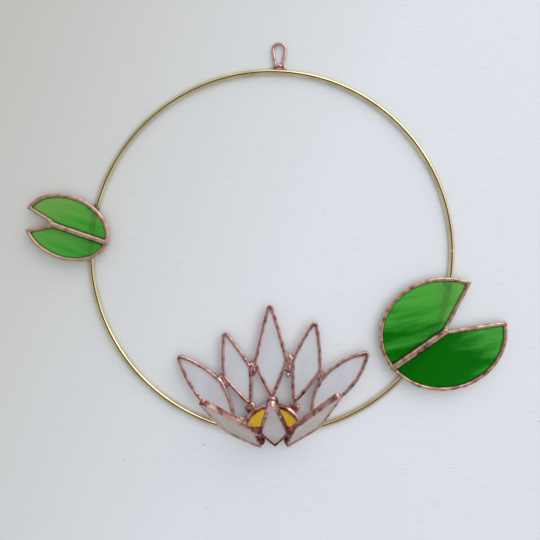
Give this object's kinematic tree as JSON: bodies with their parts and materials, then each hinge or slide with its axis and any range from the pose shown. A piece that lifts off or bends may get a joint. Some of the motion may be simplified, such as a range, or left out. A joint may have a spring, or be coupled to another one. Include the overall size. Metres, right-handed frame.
{
  "type": "stained-glass water lily hoop ornament with glass lily pads",
  "caption": "Hanging suncatcher: a brass ring with a hanging loop carries a stained-glass water lily with raised front petals and notched green glass lily pads in soldered copper edges.",
  "frame": {"origin": "under the middle of the whole ornament's outline, on the surface that it lies on; the ring's centre is 2.85 mm towards +X and 4.18 mm towards -Y from it", "axes": "+Z out of the ornament's front, +Y from the flower up to the hanging loop, +X to the right of someone who looks at its front"},
  "size_m": [0.2642, 0.2248, 0.0471],
  "materials": {
    "brass_ring": "polished pale gold wire, slightly tarnished in the shade of the joints",
    "copper_wire": "copper wire with a pinkish patina",
    "copper_solder": "beaded tin-lead solder over copper foil with a copper patina, uneven satin",
    "white_glass": "opalescent white-grey art glass with faint lilac wisps, glossy",
    "yellow_glass": "mustard yellow cathedral glass, glossy",
    "green_glass": "streaky mid to deep green art glass, glossy, see-through enough to show the ring behind"
  },
  "bodies": {
    "root": {"hoop_ring": "brass_ring", "hanging_loop": "copper_wire", "petal_back_far_left_glass": "white_glass", "petal_back_far_left_foil": "copper_solder", "petal_back_left_glass": "white_glass", "petal_back_left_foil": "copper_solder", "petal_back_centre_glass": "white_glass", "petal_back_centre_foil": "copper_solder", "petal_back_right_glass": "white_glass", "petal_back_right_foil": "copper_solder", "petal_back_far_right_glass": "white_glass", "petal_back_far_right_foil": "copper_solder", "petal_front_left_glass": "white_glass", "petal_front_left_foil": "copper_solder", "petal_front_middle_glass": "white_glass", "petal_front_middle_foil": "copper_solder", "petal_front_right_glass": "white_glass", "petal_front_right_foil": "copper_solder", "flower_centre_glass": "yellow_glass", "flower_centre_foil": "copper_solder", "pad_large_upper_glass": "green_glass", "pad_large_upper_foil": "copper_solder", "pad_large_lower_glass": "green_glass", "pad_large_lower_foil": "copper_solder", "pad_large_rib": "copper_solder", "pad_small_upper_glass": "green_glass", "pad_small_upper_foil": "copper_solder", "pad_small_lower_glass": "green_glass", "pad_small_lower_foil": "copper_solder", "pad_small_rib": "copper_solder", "solder_far_left_to_left": "copper_solder", "solder_left_to_centre": "copper_solder", "solder_centre_to_right": "copper_solder", "solder_right_to_far_right": "copper_solder", "solder_centre_base": "copper_solder", "solder_left_base": "copper_solder", "solder_right_base": "copper_solder", "solder_far_left_base": "copper_solder", "solder_far_right_base": "copper_solder", "solder_front_left": "copper_solder", "solder_front_right": "copper_solder", "solder_ring_left": "copper_solder", "solder_ring_middle": "copper_solder", "solder_ring_right": "copper_solder", "solder_pad_large_top": "copper_solder", "solder_pad_large_foot": "copper_solder", "solder_pad_small_top": "copper_solder", "solder_pad_small_foot": "copper_solder", "solder_hanging_loop": "copper_solder"}
  },
  "joints": []
}
